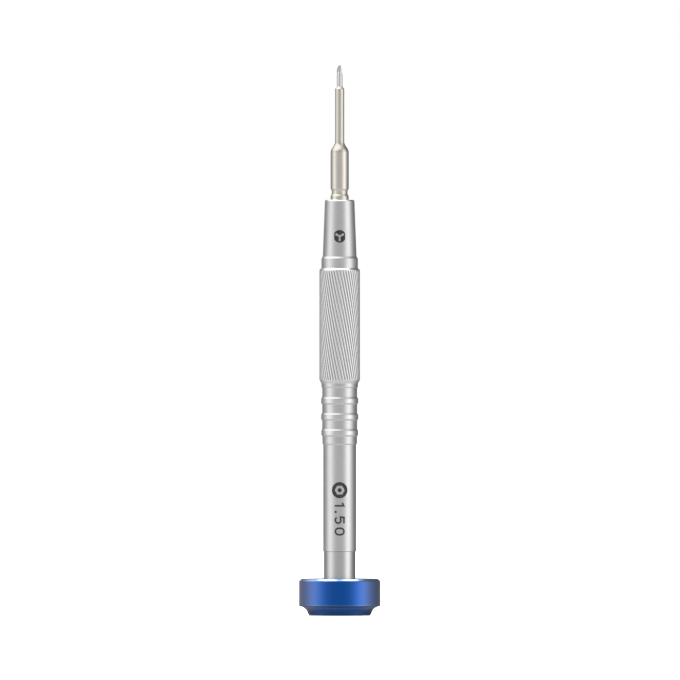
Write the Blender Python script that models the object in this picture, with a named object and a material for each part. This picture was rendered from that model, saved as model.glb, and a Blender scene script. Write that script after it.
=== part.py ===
"""Precision screwdriver with a swivelling palm cap.

The driver stands on its cap: +Z runs along the axis from the cap's end face (z = 0) to the tip.
Sizes below are in millimetres and become metres in one place, the MM factor.
"""

import math

import bmesh
import bpy
from mathutils import Matrix, Vector

MM = 0.001
SEGMENTS = 40  # facets round a large turned piece
BEARING_SEGMENTS = 32  # facets round the bearing's rings
SMALL_SEGMENTS = 24  # facets round a small hidden piece
ARC_STEP = 18.0  # degrees between the points of a rounded edge
FIT_GAP = 0.05  # clearance between pieces that touch

# Lengths along the axis
TOTAL_LENGTH = 148.0
NOSE_TOP = 111.7
NOSE_BASE = 96.5
GRIP_TOP = 92.6
GRIP_BASE = 63.3
BARREL_TOP = 45.8
BARREL_BASE = 17.2
CAP_HEIGHT = 9.85

# Handle radii
NOSE_TOP_RADIUS = 3.98
NOSE_BASE_RADIUS = 4.54
COLLAR_RADIUS = 4.91
GRIP_RADIUS = 5.45
GROOVE_RADIUS = 4.69
RING_RADIUS = 4.985
BARREL_RADIUS = 4.45
NOSE_EDGE = 0.35

# Rings below the grip
RING_COUNT = 3
RING_PITCH = 4.3
FIRST_RING_TOP = 58.75

# Blade
SHANK_RADIUS = 2.45
SHANK_NECK_RADIUS = 2.12
SHANK_TOP = 125.0
NECK_TOP = 114.95
NECK_BASE = 112.35
NECK_CONE = 0.75  # length of the cone above the neck
NECK_FLARE = 0.95  # length of the flare below the neck
BLADE_RADIUS = 1.235
BLADE_BASE = 126.8
BLADE_TOP = 141.5
POINT_RADIUS = 0.76
POINT_BASE = 142.1
TANG_ACROSS_FLATS = 3.94
TANG_LENGTH = 14.9

# Three-winged point
WING_COUNT = 3
WING_ANGLE = 180.0  # direction of the first wing
WING_THICKNESS = 0.4
WING_TOP_RADIUS = 0.22
WING_SHOULDER = 146.7  # height where the wings start to taper
FLUTE_BASE = 145.3  # height where a flute runs out at the outside
FLUTE_ROOT = 146.1  # height where a flute reaches its full depth

# Socket insert and magnet in the nose
SOCKET_RADIUS = 3.3
SOCKET_BASE = 93.0
SOCKET_BORE = 1.9
SOCKET_ACROSS_FLATS = 4.04
HEX_BASE = 96.6
MAGNET_RADIUS = 2.0
MAGNET_THICKNESS = 3.0

# Tail spindle
SPINDLE_RADIUS = 4.255
SPINDLE_BASE = 8.2
STUD_RADIUS = 2.5
STUD_TOP = 31.0
JOURNAL_RADIUS = 1.95
THREAD_RADIUS = 1.0

# Palm cap
CAP_RADIUS = 10.95
CAP_TOP_EDGE = 0.7
CAP_FOOT_WIDTH = 0.32  # chamfer between the cove and the end face
CAP_FOOT_HEIGHT = 0.45
COVE_RADIUS = 2.45
COVE_LIP = 0.25
CAP_MOUTH_RADIUS = 4.5
CAP_WEB_BASE = 7.4
END_DISC_RADIUS = 6.85
END_DISC_TOP = 1.2
END_DISC_BASE = 0.15

# Deep-groove ball bearing, 4 x 12 x 4
BEARING_BORE_RADIUS = 2.0
BEARING_RADIUS = 6.0
BEARING_WIDTH = 4.0
BEARING_MIDDLE = 5.35
BALL_COUNT = 7
BALL_RADIUS = 1.0
PITCH_RADIUS = 4.0
RACE_RADIUS = 1.04
RACE_SHOULDER = 0.65  # from the ball's centre to the shoulder beside the race
CAGE_HALF_WIDTH = 0.45
CAGE_HALF_HEIGHT = 1.35
POCKET_RADIUS = 1.09
SHIELD_INNER = 1.6  # from the middle plane to the shield's inner face
SHIELD_THICKNESS = 0.25
SHIELD_RADIUS = 5.1
SHIELD_BORE_RADIUS = 3.45

# Screw and washer that hold the bearing on the spindle
WASHER_RADIUS = 2.8
WASHER_THICKNESS = 0.5
SCREW_HEAD_RADIUS = 1.9
SCREW_HEAD_HEIGHT = 1.3
SCREW_SOCKET_ACROSS_FLATS = 1.5
SCREW_SOCKET_DEPTH = 0.7
SCREW_END = 7.2


def clear_scene():
    for obj in list(bpy.data.objects):
        bpy.data.objects.remove(obj, do_unlink=True)


def metal(name, colour, roughness):
    """A plain metallic material."""
    material = bpy.data.materials.new(name)
    material.use_nodes = True
    shader = material.node_tree.nodes["Principled BSDF"]
    shader.inputs["Base Color"].default_value = (*colour, 1.0)
    shader.inputs["Roughness"].default_value = roughness
    shader.inputs["Metallic"].default_value = 1.0
    return material


def axis_empty(name, parent=None):
    """An empty on the tool's axis, which a group of pieces turns or slides with."""
    empty = bpy.data.objects.new(name, None)
    empty.empty_display_size = 5 * MM
    empty.parent = parent
    bpy.context.collection.objects.link(empty)
    return empty


def add_object(name, mesh, material, parent):
    """Turns a bmesh, whose coordinates are in millimetres, into a shaded object."""
    bmesh.ops.remove_doubles(mesh, verts=mesh.verts, dist=1e-5)
    bmesh.ops.recalc_face_normals(mesh, faces=mesh.faces)
    bmesh.ops.scale(mesh, vec=(MM, MM, MM), verts=mesh.verts)
    data = bpy.data.meshes.new(name)
    mesh.to_mesh(data)
    mesh.free()
    data.shade_smooth()
    data.set_sharp_from_angle(angle=math.radians(30))
    if material is not None:
        data.materials.append(material)
    obj = bpy.data.objects.new(name, data)
    obj.parent = parent
    bpy.context.collection.objects.link(obj)
    return obj


def arc(centre, radius, start, end):
    """Points (radius, height) of a circular arc, from one angle to the other in degrees."""
    steps = max(2, round(abs(end - start) / ARC_STEP))
    angles = [math.radians(start + (end - start) * i / steps) for i in range(steps + 1)]
    return [(centre[0] + radius * math.cos(a), centre[1] + radius * math.sin(a)) for a in angles]


def turned(name, profile, material, parent, segments=SEGMENTS, ring=False):
    """A solid of revolution about Z. A ring's profile closes on itself; others end on the axis."""
    mesh = bmesh.new()
    points = [mesh.verts.new((radius, 0.0, height)) for radius, height in profile]
    pairs = list(zip(points, points[1:]))
    if ring:
        pairs.append((points[-1], points[0]))
    edges = [mesh.edges.new(pair) for pair in pairs]
    bmesh.ops.spin(
        mesh,
        geom=points + edges,
        axis=(0.0, 0.0, 1.0),
        angle=math.tau,
        steps=segments,
        use_merge=True,
    )
    return add_object(name, mesh, material, parent)


def hexagon_prism(name, across_flats, base, top, material=None, parent=None):
    mesh = bmesh.new()
    corner_radius = across_flats / math.sqrt(3)
    bmesh.ops.create_cone(
        mesh,
        cap_ends=True,
        segments=6,
        radius1=corner_radius,
        radius2=corner_radius,
        depth=top - base,
        matrix=Matrix.Translation((0.0, 0.0, (top + base) / 2)),
    )
    return add_object(name, mesh, material, parent)


def combine(obj, other, operation):
    """Applies a Boolean with a hidden helper object."""
    other.hide_render = True
    other.display_type = "WIRE"
    modifier = obj.modifiers.new(operation.lower(), "BOOLEAN")
    modifier.operation = operation
    modifier.solver = "EXACT"
    modifier.object = other


def handle_rings():
    """Outline of the three rings and the grooves between them, from the top down."""
    points = []
    for index in range(RING_COUNT):
        top = FIRST_RING_TOP - index * RING_PITCH
        points += [
            (GROOVE_RADIUS, top),
            (RING_RADIUS, top - 0.55),
            (RING_RADIUS, top - 1.65),
            (GROOVE_RADIUS, top - 2.05),
        ]
    return points


def make_handle_body(material, parent):
    """The aluminium bar: tapered nose, collar, grip, rings and barrel, bored at both ends."""
    bore = SOCKET_RADIUS + FIT_GAP
    stud_bore = STUD_RADIUS + FIT_GAP
    nose = arc((NOSE_TOP_RADIUS - NOSE_EDGE, NOSE_TOP - NOSE_EDGE), NOSE_EDGE, 90, 0)
    profile = [
        (0.0, SOCKET_BASE - 2.0),
        (bore, SOCKET_BASE - FIT_GAP),
        (bore, NOSE_TOP - 0.15),
        (bore + 0.15, NOSE_TOP),
        *nose,
        (NOSE_BASE_RADIUS, NOSE_BASE),
        (COLLAR_RADIUS, NOSE_BASE - 0.6),
        (COLLAR_RADIUS, GRIP_TOP + 0.75),
        (GRIP_RADIUS, GRIP_TOP),
        (GRIP_RADIUS, GRIP_BASE),
        (COLLAR_RADIUS, GRIP_BASE - 0.95),
        (COLLAR_RADIUS, GRIP_BASE - 1.8),
        (GROOVE_RADIUS, GRIP_BASE - 2.2),
        *handle_rings(),
        (GROOVE_RADIUS, BARREL_TOP + 0.4),
        (BARREL_RADIUS, BARREL_TOP),
        (BARREL_RADIUS, BARREL_BASE + 0.12),
        (BARREL_RADIUS - 0.12, BARREL_BASE),
        (stud_bore, BARREL_BASE),
        (stud_bore, STUD_TOP + 0.5),
        (0.0, STUD_TOP + 2.0),
    ]
    return turned("handle_body", profile, material, parent)


def make_bit_socket(material, parent):
    """Steel insert in the nose: a hexagon bore above a round pocket for the magnet."""
    top = NOSE_TOP - FIT_GAP
    pocket = MAGNET_RADIUS + FIT_GAP
    profile = [
        (SOCKET_RADIUS - 0.2, SOCKET_BASE),
        (SOCKET_RADIUS, SOCKET_BASE + 0.2),
        (SOCKET_RADIUS, top),
        (SOCKET_BORE + 0.6, top),
        (SOCKET_BORE, top - 0.6),
        (SOCKET_BORE, HEX_BASE),
        (pocket, HEX_BASE),
        (pocket, SOCKET_BASE),
    ]
    socket = turned("bit_socket", profile, material, parent, ring=True)
    cutter = hexagon_prism("socket_cutter", SOCKET_ACROSS_FLATS, HEX_BASE + 0.05, top + 1.0)
    combine(socket, cutter, "DIFFERENCE")
    return socket


def make_bit_magnet(material, parent):
    base = SOCKET_BASE + 0.3
    top = base + MAGNET_THICKNESS
    profile = [
        (0.0, top),
        (MAGNET_RADIUS - 0.2, top),
        (MAGNET_RADIUS, top - 0.2),
        (MAGNET_RADIUS, base + 0.2),
        (MAGNET_RADIUS - 0.2, base),
        (0.0, base),
    ]
    return turned("bit_magnet", profile, material, parent, SMALL_SEGMENTS)


def flute_cutter():
    """Three wedges that clear the metal between the wings, each running out at its lower end."""
    mesh = bmesh.new()
    reach = 2.0
    apex = WING_THICKNESS / 2 / math.sin(math.pi / WING_COUNT)
    drop = (FLUTE_ROOT - FLUTE_BASE) / (POINT_RADIUS - apex) * reach
    for index in range(WING_COUNT):
        first = math.radians(WING_ANGLE + 360 / WING_COUNT * index)
        second = first + math.tau / WING_COUNT
        middle = (first + second) / 2
        root = Vector((apex * math.cos(middle), apex * math.sin(middle), 0.0))
        sides = [Vector((math.cos(a), math.sin(a), 0.0)) * reach for a in (first, second)]
        corners = [root, root + sides[0], root + sides[1]]
        floors = [FLUTE_ROOT, FLUTE_ROOT - drop, FLUTE_ROOT - drop]
        low = [mesh.verts.new((c.x, c.y, floor)) for c, floor in zip(corners, floors)]
        high = [mesh.verts.new((c.x, c.y, TOTAL_LENGTH + 1.0)) for c in corners]
        mesh.faces.new(low)
        mesh.faces.new(high)
        for a in range(3):
            b = (a + 1) % 3
            mesh.faces.new((low[a], low[b], high[b], high[a]))
    return add_object("flute_cutter", mesh, None, None)


def make_blade(material, parent):
    """One piece of tool steel: hexagon tang, shank with a gripping neck, blade and winged point."""
    base = NOSE_TOP + FIT_GAP
    profile = [
        (0.0, TOTAL_LENGTH),
        (WING_TOP_RADIUS, TOTAL_LENGTH),
        (POINT_RADIUS - 0.04, WING_SHOULDER),
        (POINT_RADIUS, FLUTE_BASE),
        (POINT_RADIUS, POINT_BASE),
        (BLADE_RADIUS, BLADE_TOP),
        (BLADE_RADIUS, BLADE_BASE),
        (SHANK_RADIUS, SHANK_TOP),
        (SHANK_RADIUS, NECK_TOP),
        (SHANK_NECK_RADIUS, NECK_TOP - NECK_CONE),
        (SHANK_NECK_RADIUS, NECK_BASE + NECK_FLARE),
        (SHANK_RADIUS, NECK_BASE),
        (SHANK_RADIUS, base + 0.1),
        (SHANK_RADIUS - 0.1, base),
        (0.0, base),
    ]
    blade = turned("blade", profile, material, parent)
    tang = hexagon_prism("tang_shape", TANG_ACROSS_FLATS, base - TANG_LENGTH, base + 1.0)
    combine(blade, tang, "UNION")
    combine(blade, flute_cutter(), "DIFFERENCE")
    return blade


def make_tail_spindle(material, parent):
    """Stud in the barrel, visible collar below it, and the journal that carries the bearing."""
    ring_top = BEARING_MIDDLE + BEARING_WIDTH / 2 + FIT_GAP
    ring_base = BEARING_MIDDLE - BEARING_WIDTH / 2 + 0.1
    collar_top = BARREL_BASE - FIT_GAP
    hole = THREAD_RADIUS + FIT_GAP
    profile = [
        (0.0, STUD_TOP),
        (STUD_RADIUS - 0.3, STUD_TOP),
        (STUD_RADIUS, STUD_TOP - 0.3),
        (STUD_RADIUS, collar_top),
        (SPINDLE_RADIUS - 0.1, collar_top),
        (SPINDLE_RADIUS, collar_top - 0.1),
        (SPINDLE_RADIUS, SPINDLE_BASE + 0.2),
        (SPINDLE_RADIUS - 0.2, SPINDLE_BASE),
        (JOURNAL_RADIUS + 0.75, SPINDLE_BASE),
        (JOURNAL_RADIUS + 0.75, ring_top),
        (JOURNAL_RADIUS, ring_top),
        (JOURNAL_RADIUS, ring_base),
        (hole, ring_base),
        (hole, SCREW_END + 0.3),
        (0.0, SCREW_END + 0.9),
    ]
    return turned("tail_spindle", profile, material, parent)


def make_bearing_inner_ring(material, parent):
    half = BEARING_WIDTH / 2
    shoulder = PITCH_RADIUS - RACE_SHOULDER
    spread = math.degrees(math.acos(RACE_SHOULDER / RACE_RADIUS))
    race = arc((PITCH_RADIUS, BEARING_MIDDLE), RACE_RADIUS, 180 - spread, 180 + spread)
    profile = [
        (BEARING_BORE_RADIUS, BEARING_MIDDLE + half),
        (shoulder, BEARING_MIDDLE + half),
        *race,
        (shoulder, BEARING_MIDDLE - half),
        (BEARING_BORE_RADIUS, BEARING_MIDDLE - half),
    ]
    return turned("bearing_inner_ring", profile, material, parent, BEARING_SEGMENTS, ring=True)


def make_bearing_outer_ring(material, parent):
    half = BEARING_WIDTH / 2
    seat = SHIELD_INNER - FIT_GAP
    shoulder = PITCH_RADIUS + RACE_SHOULDER
    shield_seat = SHIELD_RADIUS + FIT_GAP
    spread = math.degrees(math.acos(RACE_SHOULDER / RACE_RADIUS))
    race = arc((PITCH_RADIUS, BEARING_MIDDLE), RACE_RADIUS, spread, -spread)
    profile = [
        (BEARING_RADIUS - 0.2, BEARING_MIDDLE + half),
        (shield_seat, BEARING_MIDDLE + half),
        (shield_seat, BEARING_MIDDLE + seat),
        (shoulder, BEARING_MIDDLE + seat),
        *race,
        (shoulder, BEARING_MIDDLE - seat),
        (shield_seat, BEARING_MIDDLE - seat),
        (shield_seat, BEARING_MIDDLE - half),
        (BEARING_RADIUS - 0.2, BEARING_MIDDLE - half),
        (BEARING_RADIUS, BEARING_MIDDLE - half + 0.2),
        (BEARING_RADIUS, BEARING_MIDDLE + half - 0.2),
    ]
    return turned("bearing_outer_ring", profile, material, parent, BEARING_SEGMENTS, ring=True)


def make_bearing_shield(name, side, material, parent):
    """A thin dished washer that closes one side of the bearing; side is +1 above, -1 below."""
    inner = BEARING_MIDDLE + side * SHIELD_INNER
    outer = inner + side * SHIELD_THICKNESS
    profile = [
        (SHIELD_BORE_RADIUS, inner),
        (SHIELD_RADIUS, inner),
        (SHIELD_RADIUS, outer),
        (SHIELD_BORE_RADIUS, outer),
    ]
    return turned(name, profile, material, parent, BEARING_SEGMENTS, ring=True)


def make_bearing_cage(material, parent):
    """A ring with one radial pocket for each ball."""
    inner = PITCH_RADIUS - CAGE_HALF_WIDTH
    outer = PITCH_RADIUS + CAGE_HALF_WIDTH
    top = BEARING_MIDDLE + CAGE_HALF_HEIGHT
    base = BEARING_MIDDLE - CAGE_HALF_HEIGHT
    profile = [(inner, top), (outer, top), (outer, base), (inner, base)]
    cage = turned("bearing_cage", profile, material, parent, BEARING_SEGMENTS, ring=True)
    pockets = bmesh.new()
    lay_flat = Matrix.Rotation(math.pi / 2, 4, "Y")
    for index in range(BALL_COUNT):
        turn = Matrix.Rotation(math.tau * index / BALL_COUNT, 4, "Z")
        place = Matrix.Translation((PITCH_RADIUS, 0.0, BEARING_MIDDLE))
        bmesh.ops.create_cone(
            pockets,
            cap_ends=True,
            segments=12,
            radius1=POCKET_RADIUS,
            radius2=POCKET_RADIUS,
            depth=2.0,
            matrix=turn @ place @ lay_flat,
        )
    combine(cage, add_object("pocket_cutter", pockets, None, None), "DIFFERENCE")
    return cage


def make_bearing_balls(material, parent):
    """Seven balls of one mesh, each an object of its own placed round the pitch circle."""
    sphere = bmesh.new()
    bmesh.ops.create_uvsphere(sphere, u_segments=12, v_segments=8, radius=BALL_RADIUS)
    first = add_object("bearing_ball_1", sphere, material, parent)
    balls = [first]
    for index in range(1, BALL_COUNT):
        ball = bpy.data.objects.new(f"bearing_ball_{index + 1}", first.data)
        ball.parent = parent
        bpy.context.collection.objects.link(ball)
        balls.append(ball)
    for index, ball in enumerate(balls):
        angle = math.tau * index / BALL_COUNT
        across = Vector((math.cos(angle), math.sin(angle), 0.0)) * PITCH_RADIUS
        ball.location = (across + Vector((0.0, 0.0, BEARING_MIDDLE))) * MM
        ball.rotation_euler.z = angle
    return balls


def make_screw_washer(material, parent):
    top = BEARING_MIDDLE - BEARING_WIDTH / 2 - FIT_GAP
    base = top - WASHER_THICKNESS
    hole = THREAD_RADIUS + 0.1
    profile = [(hole, top), (WASHER_RADIUS, top), (WASHER_RADIUS, base), (hole, base)]
    return turned("screw_washer", profile, material, parent, SMALL_SEGMENTS, ring=True)


def make_retaining_screw(material, parent):
    """Socket-head screw driven up into the spindle from below."""
    seat = BEARING_MIDDLE - BEARING_WIDTH / 2 - WASHER_THICKNESS - 2 * FIT_GAP
    head = seat - SCREW_HEAD_HEIGHT
    profile = [
        (0.0, SCREW_END),
        (THREAD_RADIUS - 0.2, SCREW_END),
        (THREAD_RADIUS, SCREW_END - 0.2),
        (THREAD_RADIUS, seat),
        (SCREW_HEAD_RADIUS, seat),
        (SCREW_HEAD_RADIUS, head + 0.15),
        (SCREW_HEAD_RADIUS - 0.15, head),
        (0.0, head),
    ]
    screw = turned("retaining_screw", profile, material, parent, SMALL_SEGMENTS)
    socket_top = head + SCREW_SOCKET_DEPTH
    cutter = hexagon_prism("screw_cutter", SCREW_SOCKET_ACROSS_FLATS, head - 1.0, socket_top)
    combine(screw, cutter, "DIFFERENCE")
    return screw


def cove_outline():
    """The hollow round the cap's lower edge, from its lip on the side wall down to the end face."""
    lip = arc((CAP_RADIUS - COVE_LIP, COVE_RADIUS + COVE_LIP), COVE_LIP, 0, -90)
    start = math.degrees(math.acos(-COVE_LIP / COVE_RADIUS))
    end = 180 - math.degrees(math.asin(CAP_FOOT_HEIGHT / COVE_RADIUS))
    cove = arc((CAP_RADIUS, 0.0), COVE_RADIUS, start, end)
    return [*lip, *cove[1:]]


def make_cap_shell(material, parent):
    """Palm cap: a ring with the bearing pocket open below and a web with the spindle's hole above."""
    pocket = BEARING_RADIUS + FIT_GAP
    disc_seat = END_DISC_RADIUS + FIT_GAP
    profile = [
        (CAP_MOUTH_RADIUS + 0.2, CAP_HEIGHT),
        (CAP_RADIUS - CAP_TOP_EDGE, CAP_HEIGHT),
        (CAP_RADIUS, CAP_HEIGHT - CAP_TOP_EDGE),
        *cove_outline(),
        (CAP_RADIUS - COVE_RADIUS - CAP_FOOT_WIDTH, 0.0),
        (disc_seat + 0.1, 0.0),
        (disc_seat, 0.1),
        (disc_seat, END_DISC_TOP + FIT_GAP),
        (pocket, END_DISC_TOP + FIT_GAP),
        (pocket, CAP_WEB_BASE),
        (CAP_MOUTH_RADIUS, CAP_WEB_BASE),
        (CAP_MOUTH_RADIUS, CAP_HEIGHT - 0.2),
    ]
    return turned("cap_shell", profile, material, parent, ring=True)


def make_cap_end_disc(material, parent):
    """Cover pressed into the cap's end face, with one shallow turned groove."""
    profile = [
        (0.0, END_DISC_TOP),
        (END_DISC_RADIUS, END_DISC_TOP),
        (END_DISC_RADIUS, END_DISC_BASE + 0.15),
        (END_DISC_RADIUS - 0.15, END_DISC_BASE),
        (END_DISC_RADIUS - 0.9, END_DISC_BASE),
        (END_DISC_RADIUS - 1.05, END_DISC_BASE + 0.15),
        (END_DISC_RADIUS - 1.25, END_DISC_BASE + 0.15),
        (END_DISC_RADIUS - 1.4, END_DISC_BASE),
        (0.0, END_DISC_BASE),
    ]
    return turned("cap_end_disc", profile, material, parent)


def build():
    clear_scene()
    satin_aluminium = metal("satin_aluminium", (0.55, 0.55, 0.56), 0.34)
    blue_anodised = metal("blue_anodised", (0.012, 0.085, 0.32), 0.3)
    tool_steel = metal("tool_steel", (0.56, 0.53, 0.5), 0.28)
    bearing_steel = metal("bearing_steel", (0.6, 0.6, 0.61), 0.12)
    sheet_steel = metal("sheet_steel", (0.5, 0.5, 0.51), 0.35)
    nickel = metal("nickel", (0.62, 0.6, 0.56), 0.18)

    handle = axis_empty("handle_group")
    cap = axis_empty("cap_axis", handle)
    cage = axis_empty("cage_axis", handle)
    bit = axis_empty("blade_axis", handle)

    make_handle_body(satin_aluminium, handle)
    make_tail_spindle(satin_aluminium, handle)
    make_bit_socket(tool_steel, handle)
    make_bit_magnet(nickel, handle)
    make_bearing_inner_ring(bearing_steel, handle)
    make_screw_washer(sheet_steel, handle)
    make_retaining_screw(sheet_steel, handle)

    make_blade(tool_steel, bit)

    make_bearing_cage(sheet_steel, cage)
    make_bearing_balls(bearing_steel, cage)

    make_bearing_outer_ring(bearing_steel, cap)
    make_bearing_shield("bearing_shield_front", 1, sheet_steel, cap)
    make_bearing_shield("bearing_shield_rear", -1, sheet_steel, cap)
    make_cap_shell(blue_anodised, cap)
    make_cap_end_disc(blue_anodised, cap)


build()
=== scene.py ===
"""Slim precision screwdriver with a swivelling palm cap: the finished look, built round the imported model.

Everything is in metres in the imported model's frame: +Z runs along the tool's axis, from the cap's end
face to the tip. Outlines are written in millimetres as (radius, height) and become metres when a mesh
is made.
"""

import math

import bmesh
import bpy
from mathutils import Matrix, Vector


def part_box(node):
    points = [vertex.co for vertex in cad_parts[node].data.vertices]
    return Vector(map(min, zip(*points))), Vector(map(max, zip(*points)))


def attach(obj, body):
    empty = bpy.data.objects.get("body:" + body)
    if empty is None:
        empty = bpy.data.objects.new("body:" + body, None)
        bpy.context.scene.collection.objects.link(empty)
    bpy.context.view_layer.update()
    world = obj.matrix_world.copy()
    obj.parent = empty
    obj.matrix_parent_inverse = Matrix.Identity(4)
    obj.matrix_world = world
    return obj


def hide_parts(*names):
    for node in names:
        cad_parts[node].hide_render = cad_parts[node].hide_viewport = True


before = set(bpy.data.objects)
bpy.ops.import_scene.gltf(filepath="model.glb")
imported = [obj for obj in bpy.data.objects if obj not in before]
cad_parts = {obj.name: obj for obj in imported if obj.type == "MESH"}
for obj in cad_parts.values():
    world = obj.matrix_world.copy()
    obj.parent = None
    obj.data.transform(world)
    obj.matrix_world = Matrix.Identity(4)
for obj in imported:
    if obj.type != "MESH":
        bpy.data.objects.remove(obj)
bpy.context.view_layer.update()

MM = 0.001
FRONT = -math.pi / 2  # angle of the side that carries the marks
FINE = 144  # columns round a large turned piece
EASE_STEPS = 4  # facets of an eased corner
SHARP_ANGLE = 40.0


def low(node):
    """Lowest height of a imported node, in millimetres."""
    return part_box(node)[0].z / MM


def high(node):
    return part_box(node)[1].z / MM


def widest(node):
    """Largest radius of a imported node, in millimetres."""
    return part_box(node)[1].x / MM


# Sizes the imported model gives
TIP = high("blade")
TANG_END = low("blade")
SHANK_R = widest("blade")
NOSE_TOP = high("handle_body")
BARREL_BASE = low("handle_body")
GRIP_R = widest("handle_body")
CAP_TOP = high("cap_shell")
CAP_R = widest("cap_shell")
SPINDLE_R = widest("tail_spindle")
SPINDLE_TOP = high("tail_spindle")
SPINDLE_BASE = low("tail_spindle")
SOCKET_R = widest("bit_socket")
SOCKET_TOP = high("bit_socket")
SOCKET_BASE = low("bit_socket")
DISC_R = widest("cap_end_disc")
DISC_TOP = high("cap_end_disc")
DISC_BASE = low("cap_end_disc")

# Handle, from the nose down
NOSE_TOP_R = 3.98
NOSE_BASE = 96.5
NOSE_BASE_R = 4.54
COLLAR_R = 4.91
COLLAR_TOP = 95.9
GRIP_TOP = 92.85
GRIP_BASE = 63.3
GRIP_TOP_CONE = 0.5
GRIP_BASE_CONE = 0.95
GROOVE_R = 4.69
RING_R = 4.985
RING_COUNT = 3
RING_PITCH = 4.3
FIRST_RING_TOP = 58.75
BARREL_TOP = 45.8
BARREL_R = 4.45
STUD_R = 2.5

# Flutes of the grip
FLUTES = 44
FLUTE_COLUMNS = 12  # mesh columns across one flute
FLUTE_RINGS = 96
FLUTE_DEPTH = 0.115
FLUTE_TWIST = -37.67  # radians per metre of height
FLUTE_LEAD_IN = 0.35  # height over which a flute deepens below the top cone
FLUTE_SHARPNESS = 1.6  # over 1 keeps the crests broad and the flutes narrow
CORE_R = 4.4  # bar under the fluted sleeve

# Blade
NECK_R = 2.12
RIM_BASE = 112.65
BLADE_R = 1.235
POINT_R = 0.76
TANG_FLAT = 1.97
TANG_CORNER = 2.2
WING_HALF = 0.2
WING_TURN = math.pi
WINGS = 3
FLUTE_ROOT = 147.4
FLUTE_RUNOUT = 145.3
WING_CORNER_SHARE = 0.28  # share of half a wing's sector that its outer edge takes

# Cap
COVE_R = 2.45
LIP_R = 0.25
FOOT = (0.32, 0.45)
MOUTH_R = 4.5
WEB_BASE = 7.4
POCKET_R = 6.05

# Bearing
BEARING_MIDDLE = 5.35
BALL_PITCH_R = 4.0
BALL_R = 1.0
BALLS = 7


# ---- outlines and lofts


def eased(corners):
    """An outline whose corners are rounded; a corner is (radius, height) or (radius, height, easing)."""
    outline = []
    last = len(corners) - 1
    for index, corner in enumerate(corners):
        here = Vector(corner[:2])
        easing = corner[2] if len(corner) > 2 else 0.0
        if not easing or index in (0, last):
            outline.append(tuple(here))
            continue
        before = Vector(corners[index - 1][:2]) - here
        after = Vector(corners[index + 1][:2]) - here
        reach = min(easing, 0.42 * before.length, 0.42 * after.length)
        start = here + before.normalized() * reach
        end = here + after.normalized() * reach
        outline.append(tuple(here + before.normalized() * reach * 1.18))
        for step in range(EASE_STEPS + 1):
            t = step / EASE_STEPS
            point = start * (1 - t) ** 2 + here * 2 * t * (1 - t) + end * t**2
            outline.append(tuple(point))
        outline.append(tuple(here + after.normalized() * reach * 1.18))
    return outline


def arc(centre, across, up, start, end, steps):
    """Points of an elliptical arc between two angles in degrees."""
    turns = [math.radians(start + (end - start) * i / steps) for i in range(steps + 1)]
    return [(centre[0] + across * math.cos(a), centre[1] + up * math.sin(a)) for a in turns]


def whole_turn(steps):
    """The angles of even steps round a full circle."""
    return [math.tau * i / steps for i in range(steps)]


def circle(radius, height, columns=FINE):
    """One ring of a loft: a single point on the axis where the radius is zero."""
    if radius < 1e-6:
        return [(0.0, 0.0, height)]
    return [(radius * math.cos(a), radius * math.sin(a), height) for a in whole_turn(columns)]


def hexagon(flat, corner, height):
    """A hexagonal ring: flat is the distance from the axis to a flat, corner the limit at a corner."""
    ring = []
    for turn in whole_turn(FINE):
        from_flat = (turn + math.pi / 6) % (math.pi / 3) - math.pi / 6
        radius = min(flat / math.cos(from_flat), corner)
        ring.append((radius * math.cos(turn), radius * math.sin(turn), height))
    return ring


def finished_mesh(name, shape, sharp=SHARP_ANGLE):
    """Closes a bmesh in millimetres, turns its faces outward and makes it a mesh in metres."""
    bmesh.ops.remove_doubles(shape, verts=shape.verts, dist=1e-5)
    bmesh.ops.recalc_face_normals(shape, faces=shape.faces)
    bmesh.ops.scale(shape, vec=(MM, MM, MM), verts=shape.verts)
    mesh = bpy.data.meshes.new(name)
    shape.to_mesh(mesh)
    shape.free()
    mesh.shade_smooth()
    mesh.set_sharp_from_angle(angle=math.radians(sharp))
    return mesh


def loft(name, rings, closed=False, sharp=SHARP_ANGLE):
    """Skins rings of points from one to the next; a closed loft joins its last ring to its first."""
    shape = bmesh.new()
    skinned = [[shape.verts.new(point) for point in ring] for ring in rings]
    pairs = list(zip(skinned, skinned[1:]))
    if closed:
        pairs.append((skinned[-1], skinned[0]))
    for first, second in pairs:
        count = max(len(first), len(second))
        for index in range(count):
            onward = (index + 1) % count
            if len(first) == 1:
                shape.faces.new((first[0], second[onward], second[index]))
            elif len(second) == 1:
                shape.faces.new((first[index], first[onward], second[0]))
            else:
                shape.faces.new((first[index], first[onward], second[onward], second[index]))
    return finished_mesh(name, shape, sharp)


def turned(name, corners, columns=FINE, closed=False):
    """A turned solid, or a turned ring where the outline closes on itself."""
    return loft(name, [circle(radius, height, columns) for radius, height in eased(corners)], closed)


# ---- node trees


def add_node(tree, kind, values=None, **settings):
    """Adds a node; values maps an input to a number, a colour or the socket that feeds it."""
    made = tree.nodes.new(kind)
    for key, value in settings.items():
        setattr(made, key, value)
    for key, value in (values or {}).items():
        if isinstance(value, bpy.types.NodeSocket):
            tree.links.new(value, made.inputs[key])
        else:
            made.inputs[key].default_value = value
    return made


def calc(tree, operation, *terms):
    """A Math node's result."""
    made = add_node(tree, "ShaderNodeMath", dict(enumerate(terms)), operation=operation)
    return made.outputs[0]


def plus(tree, first, second):
    return calc(tree, "ADD", first, second)


def minus(tree, first, second):
    return calc(tree, "SUBTRACT", first, second)


def times(tree, first, second):
    return calc(tree, "MULTIPLY", first, second)


def summed(tree, start, *parts):
    """A starting value plus shares of others; a part is (value, share)."""
    total = start
    for value, share in parts:
        total = calc(tree, "MULTIPLY_ADD", value, share, total)
    return total


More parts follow.
